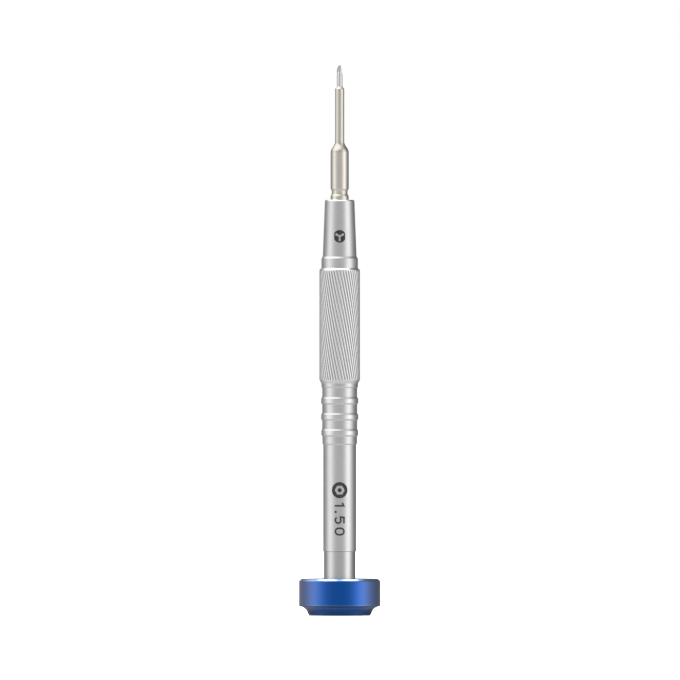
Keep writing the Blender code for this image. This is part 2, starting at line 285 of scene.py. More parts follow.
def hypotenuse(tree, first, second):
    return calc(tree, "SQRT", plus(tree, times(tree, first, first), times(tree, second, second)))


def bell(tree, value, middle, width):
    """1 where a value is at the middle, falling off smoothly on both sides."""
    off = calc(tree, "DIVIDE", minus(tree, value, middle), width)
    return calc(tree, "EXPONENT", times(tree, times(tree, off, off), -0.5))


def ramp(tree, value, low_in, high_in, low_out=0.0, high_out=1.0):
    """A smooth step of a value from one range to another."""
    values = {0: value, 1: low_in, 2: high_in, 3: low_out, 4: high_out}
    made = add_node(tree, "ShaderNodeMapRange", values, interpolation_type="SMOOTHSTEP")
    return made.outputs[0]


def noise(tree, place, scale, detail, distortion=0.0):
    values = {"Vector": place, "Scale": scale, "Detail": detail, "Distortion": distortion}
    return add_node(tree, "ShaderNodeTexNoise", values).outputs[0]


def blend_colour(tree, share, first, second):
    made = add_node(tree, "ShaderNodeMix", data_type="RGBA")
    for socket, value in zip((made.inputs[0], made.inputs[6], made.inputs[7]), (share, first, second)):
        if isinstance(value, bpy.types.NodeSocket):
            tree.links.new(value, socket)
        elif isinstance(value, (int, float)):
            socket.default_value = value
        else:
            socket.default_value = (*value, 1.0)
    return made.outputs[2]


FLOAT = "NodeSocketFloat"
WHOLE = "NodeSocketInt"
VECTOR = "NodeSocketVector"
GEOMETRY = "NodeSocketGeometry"
MATERIAL = "NodeSocketMaterial"


def new_group(name, kind, inputs, outputs):
    """An empty node group with its named sockets; returns the tree and its input sockets."""
    tree = bpy.data.node_groups.new(name, kind)
    for label, socket_type, value in inputs:
        made = tree.interface.new_socket(label, in_out="INPUT", socket_type=socket_type)
        if value is not None:
            made.default_value = value
    for label, socket_type in outputs:
        tree.interface.new_socket(label, in_out="OUTPUT", socket_type=socket_type)
    entry = tree.nodes.new("NodeGroupInput")
    return tree, entry.outputs


def number_inputs(numbers):
    """Interface rows of named numbers; a whole number gets a whole-number socket."""
    return [(label, WHOLE if isinstance(value, int) else FLOAT, value) for label, value in numbers.items()]


def new_shader_group(name, numbers, results):
    """A shader group that reads a Position and some numbers, and puts out values."""
    inputs = [("Position", VECTOR, None), *number_inputs(numbers)]
    return new_group(name, "ShaderNodeTree", inputs, [(label, FLOAT) for label in results])


def new_geometry_group(name, numbers):
    """A Geometry Nodes tree with some numbers and its Finish, a material, as inputs."""
    inputs = [("Geometry", GEOMETRY, None), *number_inputs(numbers), ("Finish", MATERIAL, None)]
    return new_group(name, "GeometryNodeTree", inputs, [("Geometry", GEOMETRY)])


def close_group(tree, results):
    leave = tree.nodes.new("NodeGroupOutput")
    for label, socket in results.items():
        tree.links.new(socket, leave.inputs[label])
    return tree


def close_geometry(tree, geometry, finish):
    """Makes a tree's geometry real, gives it its finish and puts it out."""
    realised = add_node(tree, "GeometryNodeRealizeInstances", {0: geometry}).outputs[0]
    painted = add_node(tree, "GeometryNodeSetMaterial", {"Geometry": realised, "Material": finish})
    return close_group(tree, {"Geometry": painted.outputs[0]})


# ---- shader groups


def axis_distance(tree, position):
    """Distance of a position from the tool's axis, and its parts."""
    parts = add_node(tree, "ShaderNodeSeparateXYZ", {0: position}).outputs
    return hypotenuse(tree, parts[0], parts[1]), parts


def make_turning_lines():
    """Fine lines left by the lathe: rings round the axis on a wall and on a face alike."""
    tree, given = new_shader_group(
        "turning_lines", {"Lines per metre": 9000.0, "Drift": 90.0}, ["Height", "Tone"]
    )
    across, parts = axis_distance(tree, given["Position"])
    along = times(tree, plus(tree, parts[2], across), given["Lines per metre"])
    drift_x = times(tree, parts[0], given["Drift"])
    drift_y = times(tree, parts[1], given["Drift"])
    place = add_node(tree, "ShaderNodeCombineXYZ", {0: drift_x, 1: drift_y, 2: along}).outputs[0]
    fine = noise(tree, place, 1.0, 2.0)
    slow = noise(tree, place, 0.13, 1.0)
    return close_group(tree, {"Height": fine, "Tone": slow})


def make_blasted_grain():
    """Pits of a finely blasted surface, and the slight mottle that goes with them."""
    tree, given = new_shader_group("blasted_grain", {"Pits per metre": 11000.0}, ["Height", "Mottle"])
    pits = noise(tree, given["Position"], given["Pits per metre"], 3.0)
    mottle = noise(tree, given["Position"], times(tree, given["Pits per metre"], 0.09), 4.0)
    return close_group(tree, {"Height": pits, "Mottle": mottle})


def make_handling_marks():
    """Faint smudges from fingers, and a few hairline scratches."""
    tree, given = new_shader_group("handling_marks", {"Smudge size": 0.006}, ["Smudge", "Scratch"])
    scale = calc(tree, "DIVIDE", 1.0, given["Smudge size"])
    cloud = noise(tree, given["Position"], scale, 3.0, 0.6)
    stretch = {"Vector": given["Position"], "Rotation": (0.5, 0.3, 0.9), "Scale": (2600.0, 160.0, 220.0)}
    hair = noise(tree, add_node(tree, "ShaderNodeMapping", stretch).outputs[0], 1.0, 1.0)
    results = {"Smudge": ramp(tree, cloud, 0.42, 0.68), "Scratch": ramp(tree, hair, 0.72, 0.76)}
    return close_group(tree, results)


def worn_patches(tree, given, mask, scale, detail):
    """Thins a mask in patches, as far as its group's Patchiness says."""
    patch = ramp(tree, noise(tree, given["Position"], scale, detail), 0.35, 0.65)
    kept = minus(tree, 1.0, times(tree, given["Patchiness"], patch))
    return {"Mask": times(tree, mask, kept)}


def make_edge_rub():
    """Where hands polish a piece: the metal that stands furthest from the axis."""
    tree, given = new_shader_group(
        "edge_rub", {"From radius": 0.0048, "To radius": 0.005, "Patchiness": 0.5}, ["Mask"]
    )
    across, _ = axis_distance(tree, given["Position"])
    proud = ramp(tree, across, given["From radius"], given["To radius"])
    return close_group(tree, worn_patches(tree, given, proud, 700.0, 3.0))


def make_edge_wear_and_highlight():
    """Pale mask along one turned edge, given by its radius and height: wear, and on the cap's rim and lip
    also a painted highlight.
    """
    numbers = {"Edge radius": 0.01, "Edge height": 0.0, "Width": 0.0002, "Patchiness": 0.6}
    tree, given = new_shader_group("edge_wear_and_highlight", numbers, ["Mask"])
    across, parts = axis_distance(tree, given["Position"])
    side = minus(tree, across, given["Edge radius"])
    rise = minus(tree, parts[2], given["Edge height"])
    near = ramp(tree, hypotenuse(tree, side, rise), 0.0, given["Width"], 1.0, 0.0)
    return close_group(tree, worn_patches(tree, given, near, 900.0, 4.0))


def make_height_band():
    """Everything between two heights, with soft limits."""
    numbers = {"Low": 0.0, "High": 0.001, "Softness": 0.0002}
    tree, given = new_shader_group("height_band", numbers, ["Mask"])
    height = add_node(tree, "ShaderNodeSeparateXYZ", {0: given["Position"]}).outputs[2]
    above = ramp(tree, minus(tree, height, given["Low"]), 0.0, given["Softness"])
    below = ramp(tree, minus(tree, given["High"], height), 0.0, given["Softness"])
    return close_group(tree, {"Mask": times(tree, above, below)})


TURNING_LINES = make_turning_lines()
BLASTED_GRAIN = make_blasted_grain()
HANDLING_MARKS = make_handling_marks()
EDGE_RUB = make_edge_rub()
EDGE_WEAR_AND_HIGHLIGHT = make_edge_wear_and_highlight()
HEIGHT_BAND = make_height_band()


def set_constants(node, **values):
    """Sets a node's own sockets; keyword names use _ for the spaces in a socket's name."""
    for key, value in values.items():
        node.inputs[key.replace("_", " ")].default_value = value


def use_group(tree, group, position, **values):
    """Places a shader group with its own numbers."""
    made = tree.nodes.new("ShaderNodeGroup")
    made.node_tree = group
    tree.links.new(position, made.inputs["Position"])
    set_constants(made, **values)
    return made.outputs


# ---- materials


def empty_material(name):
    """A material with only its Principled shader; returns it, its tree, shader and Object position."""
    material = bpy.data.materials.new(name)
    material.use_nodes = True
    tree = material.node_tree
    shader = tree.nodes["Principled BSDF"]
    position = add_node(tree, "ShaderNodeTexCoord").outputs["Object"]
    return material, tree, shader, position


def dress(tree, shader, colour, rough, heights, relief):
    """Feeds a shader its colour, its roughness and a bump of heights, each (value, share)."""
    tree.links.new(colour, shader.inputs["Base Color"])
    tree.links.new(rough, shader.inputs["Roughness"])
    values = {"Height": summed(tree, 0.0, *heights), "Distance": relief, "Strength": 1.0}
    tree.links.new(add_node(tree, "ShaderNodeBump", values).outputs[0], shader.inputs["Normal"])


def shaded(colour, factor):
    return tuple(part * factor for part in colour)


def metal_finish(name, colour, rubbed, roughness, lines=9000.0, grain=11000.0, rub=(0.1, 0.2), line_share=0.6,
                 relief=0.0000008, soil=0.04, coat=0.0):
    """A metal surface: base and rubbed colours, turning lines, blasted grain, smudges and rubbed edges."""
    material, tree, shader, position = empty_material(name)
    turning = use_group(tree, TURNING_LINES, position, Lines_per_metre=lines)
    grains = use_group(tree, BLASTED_GRAIN, position, Pits_per_metre=grain)
    marks = use_group(tree, HANDLING_MARKS, position)
    edge = use_group(tree, EDGE_RUB, position, From_radius=rub[0], To_radius=rub[1])
    darker = shaded(colour, 1.0 - soil)
    toned = blend_colour(tree, ramp(tree, grains["Mottle"], 0.3, 0.7), darker, colour)
    lined = blend_colour(tree, ramp(tree, turning["Tone"], 0.35, 0.65, 0.0, 0.35), toned, darker)
    surface = blend_colour(tree, edge["Mask"], lined, rubbed)
    rough = summed(
        tree, roughness - 0.02,
        (marks["Smudge"], 0.04), (turning["Tone"], 0.03), (edge["Mask"], -0.05), (marks["Scratch"], -0.05),
    )
    heights = [(turning["Height"], line_share), (grains["Height"], 1.0 - line_share)]
    dress(tree, shader, surface, rough, heights, relief)
    set_constants(shader, Metallic=1.0)
    if coat:
        set_constants(shader, Coat_Weight=coat, Coat_Roughness=0.2)
    return material


def fluted_finish(name, colour, groove_shade_colour, crest, roughness):
    """The grip's metal: duller in the flutes and darker there as painted shade, polished on their crests."""
    material, tree, shader, position = empty_material(name)
    grains = use_group(tree, BLASTED_GRAIN, position, Pits_per_metre=13000.0)
    marks = use_group(tree, HANDLING_MARKS, position, Smudge_size=0.004)
    across, _ = axis_distance(tree, position)
    outer = GRIP_R * MM
    depth = FLUTE_DEPTH * MM
    fluted = use_group(
        tree, HEIGHT_BAND, position, Low=GRIP_BASE * MM, High=(GRIP_TOP - 0.05) * MM, Softness=0.00005
    )
    sunk = ramp(tree, across, outer - depth, outer - 0.35 * depth, 1.0, 0.0)
    sunk = times(tree, sunk, fluted["Mask"])
    edge = use_group(
        tree, EDGE_RUB, position, From_radius=outer - 0.22 * depth, To_radius=outer, Patchiness=0.35
    )
    toned = blend_colour(tree, ramp(tree, grains["Mottle"], 0.3, 0.7), shaded(colour, 0.93), colour)
    shaded_flutes = blend_colour(tree, sunk, toned, groove_shade_colour)
    surface = blend_colour(tree, edge["Mask"], shaded_flutes, crest)
    rough = summed(tree, roughness, (sunk, 0.1), (edge["Mask"], -0.06), (marks["Smudge"], 0.04))
    dress(tree, shader, surface, rough, [(grains["Height"], 1.0)], 0.0000015)
    set_constants(shader, Metallic=1.0)
    return material


def anodised_finish(name, dye, wear_and_highlight_colour, roughness, edges):
    """Dyed anodised aluminium: deep blue metal under a clear oxide skin, pale along its given edges as wear,
    and on the cap's rim and lip also as painted highlight.

    The skin is a coat whose gloss grows towards a glancing angle.
    An edge is (radius, height, width, share).
    """
    material, tree, shader, position = empty_material(name)
    turning = use_group(tree, TURNING_LINES, position, Lines_per_metre=7000.0, Drift=60.0)
    grains = use_group(tree, BLASTED_GRAIN, position, Pits_per_metre=9000.0)
    marks = use_group(tree, HANDLING_MARKS, position, Smudge_size=0.009)
    dyed = blend_colour(tree, ramp(tree, grains["Mottle"], 0.25, 0.75), shaded(dye, 0.96), dye)
    for radius, height, width, share in edges:
        rim = use_group(
            tree, EDGE_WEAR_AND_HIGHLIGHT, position, Edge_radius=radius * MM, Edge_height=height * MM, Width=width * MM,
            Patchiness=0.4,
        )
        dyed = blend_colour(tree, times(tree, rim["Mask"], share), dyed, wear_and_highlight_colour)
    rough = summed(tree, roughness, (marks["Smudge"], 0.015), (turning["Tone"], 0.02))
    dress(tree, shader, dyed, rough, [(turning["Height"], 0.7), (grains["Height"], 0.3)], 0.0000005)
    facing = add_node(tree, "ShaderNodeLayerWeight", {"Blend": 0.5}).outputs["Facing"]
    tree.links.new(ramp(tree, facing, -0.1, 0.6), shader.inputs["Coat Weight"])
    set_constants(shader, Metallic=1.0, Coat_Roughness=0.25, Coat_IOR=2.6)
    return material


def band_mask(tree, low_end, high_end, share):
    """A mask of this strength between two heights in millimetres."""
    position = add_node(tree, "ShaderNodeTexCoord").outputs["Object"]
    band = use_group(
        tree, HEIGHT_BAND, position, Low=low_end * MM, High=high_end * MM, Softness=0.0002
    )
    return times(tree, band["Mask"], share)


def tint_band(material, low_end, high_end, colour, share):
    """Shifts a material's colour between two heights: a plainer tone on the blade's point, and painted shade
    on the blade's cone and point and on the cap's cove and foot.
    """
    tree = material.node_tree
    base = tree.nodes["Principled BSDF"].inputs["Base Color"]
    mask = band_mask(tree, low_end, high_end, share)
    tree.links.new(blend_colour(tree, mask, base.links[0].from_socket, colour), base)


def dull_band(material, low_end, high_end, share):
    """Thins a material's clear coat between two heights."""
    tree = material.node_tree
    coat = tree.nodes["Principled BSDF"].inputs["Coat Weight"]
    kept = minus(tree, 1.0, band_mask(tree, low_end, high_end, share))
    tree.links.new(times(tree, coat.links[0].from_socket, kept), coat)


def burnt_mark(name, colour):
    """Laser marking: a dark oxide burnt into the metal, with a faint raster."""
    material, tree, shader, position = empty_material(name)
    turning = use_group(tree, TURNING_LINES, position, Lines_per_metre=16000.0, Drift=400.0)
    grains = use_group(tree, BLASTED_GRAIN, position, Pits_per_metre=14000.0)
    mottled = blend_colour(tree, ramp(tree, grains["Mottle"], 0.3, 0.7), colour, shaded(colour, 1.5))
    rough = summed(tree, 0.5, (turning["Tone"], 0.12))
    dress(tree, shader, mottled, rough, [(turning["Height"], 0.6), (grains["Height"], 0.4)], 0.0000015)
    set_constants(shader, Metallic=0.0, Specular_IOR_Level=0.3)
    return material


aluminium = metal_finish(
    "satin_aluminium", (0.70, 0.70, 0.705), (0.78, 0.78, 0.785), 0.29, rub=(4.93 * MM, 4.99 * MM)
)
# The flutes' dark colour is painted shade in the grooves; the crests' pale colour is their polish.
fluted_aluminium = fluted_finish(
    "fluted_aluminium", (0.80, 0.80, 0.805), (0.32, 0.32, 0.325), (0.92, 0.92, 0.92), 0.25
)
spindle_aluminium = metal_finish(
    "turned_aluminium", (0.65, 0.65, 0.655), (0.70, 0.70, 0.705), 0.2, lines=6500.0, line_share=0.85
)
cap_blue = anodised_finish(
    "blue_anodised_cap",
    (0.002, 0.105, 0.47),
    (0.15, 0.31, 0.50),
    0.24,
    [
        # The rim chamfer, its inner corner and the lip line turn pale partly as wear and partly as painted
        # highlight.
        (CAP_R - 0.4, CAP_TOP - 0.3, 0.5, 1.0),
        (CAP_R - 0.66, CAP_TOP, 0.16, 0.5),
        (CAP_R, COVE_R + LIP_R + 0.1, 0.3, 0.35),
    ],
)
disc_blue = anodised_finish(
    "blue_anodised_disc",
    (0.002, 0.097, 0.43),
    (0.32, 0.42, 0.62),
    0.26,
    [(DISC_R - 0.1, DISC_BASE + 0.05, 0.16, 0.5)],
)
blade_steel = metal_finish(
    "tool_steel", (0.735, 0.69, 0.62), (0.75, 0.71, 0.655), 0.26, lines=12000.0, grain=16000.0,
    rub=(SHANK_R * MM - 0.00003, SHANK_R * MM + 0.00001), line_share=0.8, relief=0.00000015, soil=0.03,
)
socket_steel = metal_finish(
    "socket_steel", (0.56, 0.55, 0.53), (0.66, 0.65, 0.63), 0.3, lines=8000.0, line_share=0.7
)
magnet_nickel = metal_finish(
    "magnet_nickel", (0.68, 0.65, 0.60), (0.75, 0.72, 0.67), 0.16, lines=3000.0, grain=7000.0,
    line_share=0.2, relief=0.0000006,
)
bearing_steel = metal_finish(
    "ground_bearing_steel", (0.62, 0.62, 0.635), (0.70, 0.70, 0.71), 0.13, lines=15000.0, line_share=0.9,
    relief=0.0000005,
)
shield_steel = metal_finish(
    "pressed_sheet_steel", (0.54, 0.54, 0.55), (0.62, 0.62, 0.63), 0.33, lines=5000.0, line_share=0.3
)
cage_steel = metal_finish(
    "oiled_cage_steel", (0.46, 0.455, 0.45), (0.56, 0.555, 0.55), 0.3, lines=4000.0, line_share=0.3,
    soil=0.2, coat=0.4,
)
ball_steel = metal_finish(
    "polished_ball_steel", (0.72, 0.72, 0.73), (0.76, 0.76, 0.77), 0.06, lines=2000.0, grain=20000.0,
    line_share=0.1, relief=0.0000002, soil=0.03,
)
zinc_plate = metal_finish(
    "zinc_plated_steel", (0.45, 0.46, 0.48), (0.58, 0.58, 0.58), 0.34, lines=6000.0, line_share=0.4,
    soil=0.12,
)
# Painted shade darkens the cone a little and the point above 146 mm more; from 142 mm the steel takes a
# plainer tone.
tint_band(blade_steel, 125.0, 127.0, (0.06, 0.065, 0.06), 0.13)
tint_band(blade_steel, 142.0, TIP + 1.0, (0.76, 0.755, 0.74), 0.85)
tint_band(blade_steel, 146.0, TIP + 1.0, (0.42, 0.42, 0.415), 0.5)
# Below the lip the coat is thinned; the colour there is darkened as painted shade in the cove, and more on
# the foot by the floor.
dull_band(cap_blue, -1.0, COVE_R + LIP_R + 0.05, 0.85)
tint_band(cap_blue, -1.0, COVE_R + LIP_R + 0.05, (0.01, 0.03, 0.07), 0.62)
tint_band(cap_blue, -1.0, 0.45, (0.01, 0.012, 0.018), 0.6)
laser_black = burnt_mark("laser_marking", (0.02, 0.02, 0.022))


# ---- placing pieces


def placed(name, data):
    """A new object in the scene."""
    obj = bpy.data.objects.new(name, data)
    bpy.context.scene.collection.objects.link(obj)
    return obj


def evaluated_mesh(holder):
    """The plain mesh of an object with its modifiers or its curve's depth applied."""
    depsgraph = bpy.context.evaluated_depsgraph_get()
    return bpy.data.meshes.new_from_object(holder.evaluated_get(depsgraph))


def piece(mesh, material, body, slot, *stands_for):
    """Makes a finished piece of a mesh: its material, the body it rides on and the nodes it replaces."""
    if material is not None:
        mesh.materials.clear()
        mesh.materials.append(material)
    obj = placed(mesh.name, mesh)
    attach(obj, body)
    if stands_for:
        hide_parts(*stands_for)


# ---- handle


def ring_corners():
    """The three finger rings and the grooves between them, from the top down."""
    corners = []
    for index in range(RING_COUNT):
        top = FIRST_RING_TOP - index * RING_PITCH
        corners += [
            (GROOVE_R, top, 0.12),
            (RING_R, top - 0.55, 0.16),
            (RING_R, top - 1.65, 0.14),
            (GROOVE_R, top - 2.05, 0.1),
        ]
    return corners


def make_handle_bar():
    """The bar from nose to barrel, bored for the socket insert and the spindle's stud."""
    bore = SOCKET_R + 0.05
    stud_bore = STUD_R + 0.05
    sleeve_top = GRIP_TOP + GRIP_TOP_CONE
    sleeve_base = GRIP_BASE - GRIP_BASE_CONE
    corners = [
        (0.0, SOCKET_BASE - 2.0),
        (bore, SOCKET_BASE - 0.05),
        (bore, NOSE_TOP - 0.15),
        (bore + 0.15, NOSE_TOP, 0.04),
        (NOSE_TOP_R - 0.28, NOSE_TOP, 0.05),
        (NOSE_TOP_R, NOSE_TOP - 0.3, 0.08),
        (NOSE_BASE_R, NOSE_BASE, 0.14),
        (COLLAR_R, COLLAR_TOP, 0.18),
        (COLLAR_R, sleeve_top),
        (CORE_R, sleeve_top - 0.06),
        (CORE_R, sleeve_base + 0.06),
        (COLLAR_R, sleeve_base),
        (COLLAR_R, GRIP_BASE - 1.8, 0.14),
        (GROOVE_R, GRIP_BASE - 2.2, 0.1),
        *ring_corners(),
        (GROOVE_R, BARREL_TOP + 0.4, 0.1),
        (BARREL_R, BARREL_TOP, 0.12),
        (BARREL_R, BARREL_BASE, 0.14),
        (stud_bore, BARREL_BASE),
        (stud_bore, 31.5),
        (0.0, 33.0),
    ]
    return turned("handle_bar", corners)


def make_flute_tree():
    """Twisted flutes cut round a sleeve and run out over its end cones."""
    tree, given = new_geometry_group(
        "twisted_flutes",
        {
            "Flutes": FLUTES,
            "Columns per flute": FLUTE_COLUMNS,
            "Rings": FLUTE_RINGS,
            "Base": 0.0,
            "Top": 1.0,
            "End radius": COLLAR_R * MM,
            "Crest radius": GRIP_R * MM,
            "Base cone": GRIP_BASE_CONE * MM,
            "Top cone": GRIP_TOP_CONE * MM,
            "Depth": FLUTE_DEPTH * MM,
            "Lead-in": FLUTE_LEAD_IN * MM,
            "Twist": FLUTE_TWIST,
        },
    )
    columns = times(tree, given["Flutes"], given["Columns per flute"])
    blank = add_node(
        tree,
        "GeometryNodeMeshCylinder",
        {"Vertices": columns, "Side Segments": given["Rings"], "Radius": 1.0, "Depth": 1.0},
        fill_type="NGON",
    )
    place = add_node(tree, "GeometryNodeInputPosition").outputs[0]
    parts = add_node(tree, "ShaderNodeSeparateXYZ", {0: place}).outputs
    # Rings crowd towards the two ends, where the flutes run out.
    level = times(tree, parts[2], 2.0)
    squared = times(tree, level, level)
    crowding = minus(tree, 1.5, times(tree, squared, 0.5))
    share = calc(tree, "MULTIPLY_ADD", times(tree, level, crowding), 0.5, 0.5)
    span = minus(tree, given["Top"], given["Base"])
    height = calc(tree, "MULTIPLY_ADD", share, span, given["Base"])
    angle = calc(tree, "ARCTAN2", parts[1], parts[0])
    swing = calc(tree, "COSINE", times(tree, angle, given["Flutes"]))
    wave = calc(tree, "MULTIPLY_ADD", swing, 0.5, 0.5)  # 1 on a crest, 0 in the middle of a flute
    under_top = minus(tree, given["Top"], height)
    full_depth = plus(tree, given["Top cone"], given["Lead-in"])
    cut = times(tree, ramp(tree, under_top, given["Top cone"], full_depth), given["Depth"])
    hollow = calc(tree, "POWER", minus(tree, 1.0, wave), FLUTE_SHARPNESS)
    fluted = minus(tree, given["Crest radius"], times(tree, hollow, cut))
    rise = minus(tree, given["Crest radius"], given["End radius"])
    over_base = minus(tree, height, given["Base"])
    cones = [
        calc(tree, "MULTIPLY_ADD", inward, calc(tree, "DIVIDE", rise, given[cone]), given["End radius"])
        for inward, cone in ((over_base, "Base cone"), (under_top, "Top cone"))
    ]
    radius = calc(tree, "MINIMUM", fluted, calc(tree, "MINIMUM", *cones))
    turn = calc(tree, "MULTIPLY_ADD", height, given["Twist"], angle)
    moved = add_node(
        tree,
        "ShaderNodeCombineXYZ",
        {
            0: times(tree, radius, calc(tree, "COSINE", turn)),
            1: times(tree, radius, calc(tree, "SINE", turn)),
            2: height,
        },
    ).outputs[0]
    sleeve = add_node(
        tree, "GeometryNodeSetPosition", {"Geometry": blank.outputs["Mesh"], "Position": moved}
    ).outputs[0]
    return close_geometry(tree, sleeve, given["Finish"])


def grown(name, tree, inputs, sharp=SHARP_ANGLE):
    """The plain mesh that a Geometry Nodes tree makes with these inputs."""
    holder = placed(name, bpy.data.meshes.new("blank"))
    modifier = holder.modifiers.new(name, "NODES")
    modifier.node_group = tree
    sockets = {item.name: item.identifier for item in tree.interface.items_tree if item.in_out == "INPUT"}
    for label, value in inputs.items():
        modifier[sockets[label]] = value
    mesh = evaluated_mesh(holder)
    mesh.name = name
    holder.modifiers.remove(modifier)
    bpy.data.objects.remove(holder)
    mesh.shade_smooth()
    mesh.set_sharp_from_angle(angle=math.radians(sharp))
    return mesh


piece(make_handle_bar(), aluminium, "handle", "handle_aluminium", "handle_body")
piece(
    grown(
        "grip_flutes",
        make_flute_tree(),
        {
            "Base": (GRIP_BASE - GRIP_BASE_CONE) * MM,
            "Top": (GRIP_TOP + GRIP_TOP_CONE) * MM,
            "Finish": fluted_aluminium,
        },
        sharp=60.0,
    ),
    None,
    "handle",
    "handle_aluminium",
    "handle_body",
)


# ---- spindle, socket insert


def make_spindle():
    """Collar seen above the cap, stud in the barrel and journal in the bearing."""
    collar_top = BARREL_BASE - 0.01
    collar_base = 8.2
    seat_r = 2.7
    seat_base = 7.4  # the bearing's inner ring rests here
    journal_r = 1.95
    thread_r = 1.05
    corners = [
        (0.0, SPINDLE_TOP),
        (STUD_R, SPINDLE_TOP, 0.25),
        (STUD_R, collar_top, 0.08),
        (SPINDLE_R, collar_top, 0.06),
        (SPINDLE_R, collar_base, 0.2),
        (seat_r, collar_base, 0.05),
        (seat_r, seat_base, 0.05),
        (journal_r, seat_base),
        (journal_r, SPINDLE_BASE, 0.1),
        (thread_r, SPINDLE_BASE, 0.05),
        (thread_r, 7.5),
        (0.0, 8.1),
    ]
    return turned("tail_collar", corners, 120)


def make_socket():
    """Steel insert with a hexagon bore, bell-mouthed at the top, and a pocket for the magnet."""
    flat = 2.02
    corner = 2.4
    pocket = 2.05
    hex_base = 96.6
    rings = [
        circle(pocket, SOCKET_BASE),
        circle(SOCKET_R - 0.2, SOCKET_BASE),
        circle(SOCKET_R, SOCKET_BASE + 0.2),
        circle(SOCKET_R, SOCKET_TOP - 0.08),
        circle(SOCKET_R - 0.08, SOCKET_TOP),
        circle(2.75, SOCKET_TOP),
        hexagon(flat + 0.25, corner + 0.2, SOCKET_TOP - 0.2),
    ]
    for height in (SOCKET_TOP - 0.55, SOCKET_TOP - 0.8, hex_base + 0.1, hex_base):
        rings.append(hexagon(flat, corner, height))
    rings.append(circle(pocket, hex_base))
    return loft("socket_insert", rings, closed=True, sharp=30.0)


piece(make_spindle(), spindle_aluminium, "handle", "spindle_aluminium", "tail_spindle")
piece(make_socket(), socket_steel, "handle", "socket_steel", "bit_socket")


# ---- blade


def winged(radius, height):
    """One ring of the point: three wings, with flutes between them that run out lower down."""
    apex = WING_HALF / math.sin(math.pi / WINGS)
    runout = min(max((FLUTE_ROOT - height) / (FLUTE_ROOT - FLUTE_RUNOUT), 0.0), 1.0)
    floor = apex + (POINT_R - apex) * runout
    half_sector = math.pi / WINGS
    edge = min(math.asin(min(WING_HALF / radius, 1.0)), half_sector * 0.97)
    if floor >= radius:
        edge = half_sector * WING_CORNER_SHARE
    per_sector = FINE // WINGS
    ring = []
    for index in range(FINE):
        sector, step = divmod(index, per_sector)
        share = abs(2.0 * step / per_sector - 1.0)  # 1 on a wing's middle, 0 between two wings
        away = 1.0 - share
        if away <= WING_CORNER_SHARE:
            delta = edge * away / WING_CORNER_SHARE
        else:
            delta = edge + (half_sector - edge) * (away - WING_CORNER_SHARE) / (1.0 - WING_CORNER_SHARE)
        side = -1.0 if step > per_sector / 2 else 1.0
        wing = sector if side > 0 else sector + 1
        turn = WING_TURN + math.tau / WINGS * wing + side * delta
        wall = WING_HALF / max(math.sin(delta), 1e-6)
        reach = min(radius, max(wall, floor))
        ring.append((reach * math.cos(turn), reach * math.sin(turn), height))
    return ring


def make_blade():
    """Hexagon tang, gripping neck, shank, cone, slender blade and winged point, as one piece."""
    base = NOSE_TOP + 0.05
    hexagon_rings = [
        [(0.0, 0.0, TANG_END)],
        hexagon(TANG_FLAT - 0.25, TANG_CORNER - 0.25, TANG_END),
    ]
    for height in (TANG_END + 0.3, TANG_END + 0.6, base - 0.3, base):
        hexagon_rings.append(hexagon(TANG_FLAT, TANG_CORNER, height))
    shank = eased(
        [
            (2.25, base),
            (SHANK_R, base, 0.1),
            (SHANK_R, RIM_BASE, 0.2),
            (NECK_R, RIM_BASE + 0.65, 0.2),
            (NECK_R, 114.1, 0.2),
            (SHANK_R, 114.7, 0.2),
            (SHANK_R, 125.0, 0.6),
            (BLADE_R, 126.8, 0.6),
            (BLADE_R, 141.5, 0.2),
            (POINT_R, 142.1, 0.15),
            (POINT_R, 144.6),
        ]
    )
    heights = [145.0, 145.28, 145.32, 145.6, 145.9, 146.2, 146.5]
    tip = [(POINT_R, height) for height in heights]
    tip += [(POINT_R - 0.01, 146.62), (POINT_R - 0.04, 146.7), (POINT_R - 0.1, 146.8)]
    taper = [(0.64, 146.92), (0.56, 147.18), (0.46, 147.44), (0.35, 147.68), (0.24, 147.88), (0.14, TIP)]
    turn_rings = [circle(radius, height) for radius, height in shank]
    # The wings' columns start half a turn round, so the rings below follow the same start.
    half = FINE // 2
    below = [ring[half:] + ring[:half] if len(ring) > 1 else ring for ring in hexagon_rings + turn_rings]
    rings = below + [winged(radius, height) for radius, height in tip + taper] + [[(0.0, 0.0, TIP)]]
    return loft("winged_blade", rings, sharp=32.0)


piece(make_blade(), blade_steel, "blade", "blade_steel", "blade")


# ---- cap


def make_cap():
    """Palm cap: chamfered rim, straight wall, lip, cove and foot, with the bearing's pocket inside."""
    start = math.degrees(math.acos(-LIP_R / COVE_R))
    end = 180.0 - math.degrees(math.asin(FOOT[1] / COVE_R))
    cove = arc((CAP_R, 0.0), COVE_R, COVE_R, start, end, 16)
    lip = arc((CAP_R - LIP_R, COVE_R + LIP_R), LIP_R, LIP_R, 0, -90, 6)
    seat = DISC_R + 0.05
    corners = [
        (MOUTH_R, CAP_TOP - 0.2),
        (MOUTH_R, CAP_TOP, 0.2),
        (CAP_R - 0.66, CAP_TOP, 0.1),
        (CAP_R, CAP_TOP - 0.57, 0.24),
        (CAP_R, COVE_R + LIP_R + 0.05),
        *lip,
        *cove[1:],
        (CAP_R - COVE_R - FOOT[0], 0.0, 0.19),
        (seat, 0.0, 0.1),
        (seat, DISC_TOP + 0.05, 0.05),
        (POCKET_R, DISC_TOP + 0.05, 0.08),
        (POCKET_R, WEB_BASE, 0.1),
        (MOUTH_R, WEB_BASE, 0.08),
    ]
    return turned("palm_cap", corners, 180, closed=True)


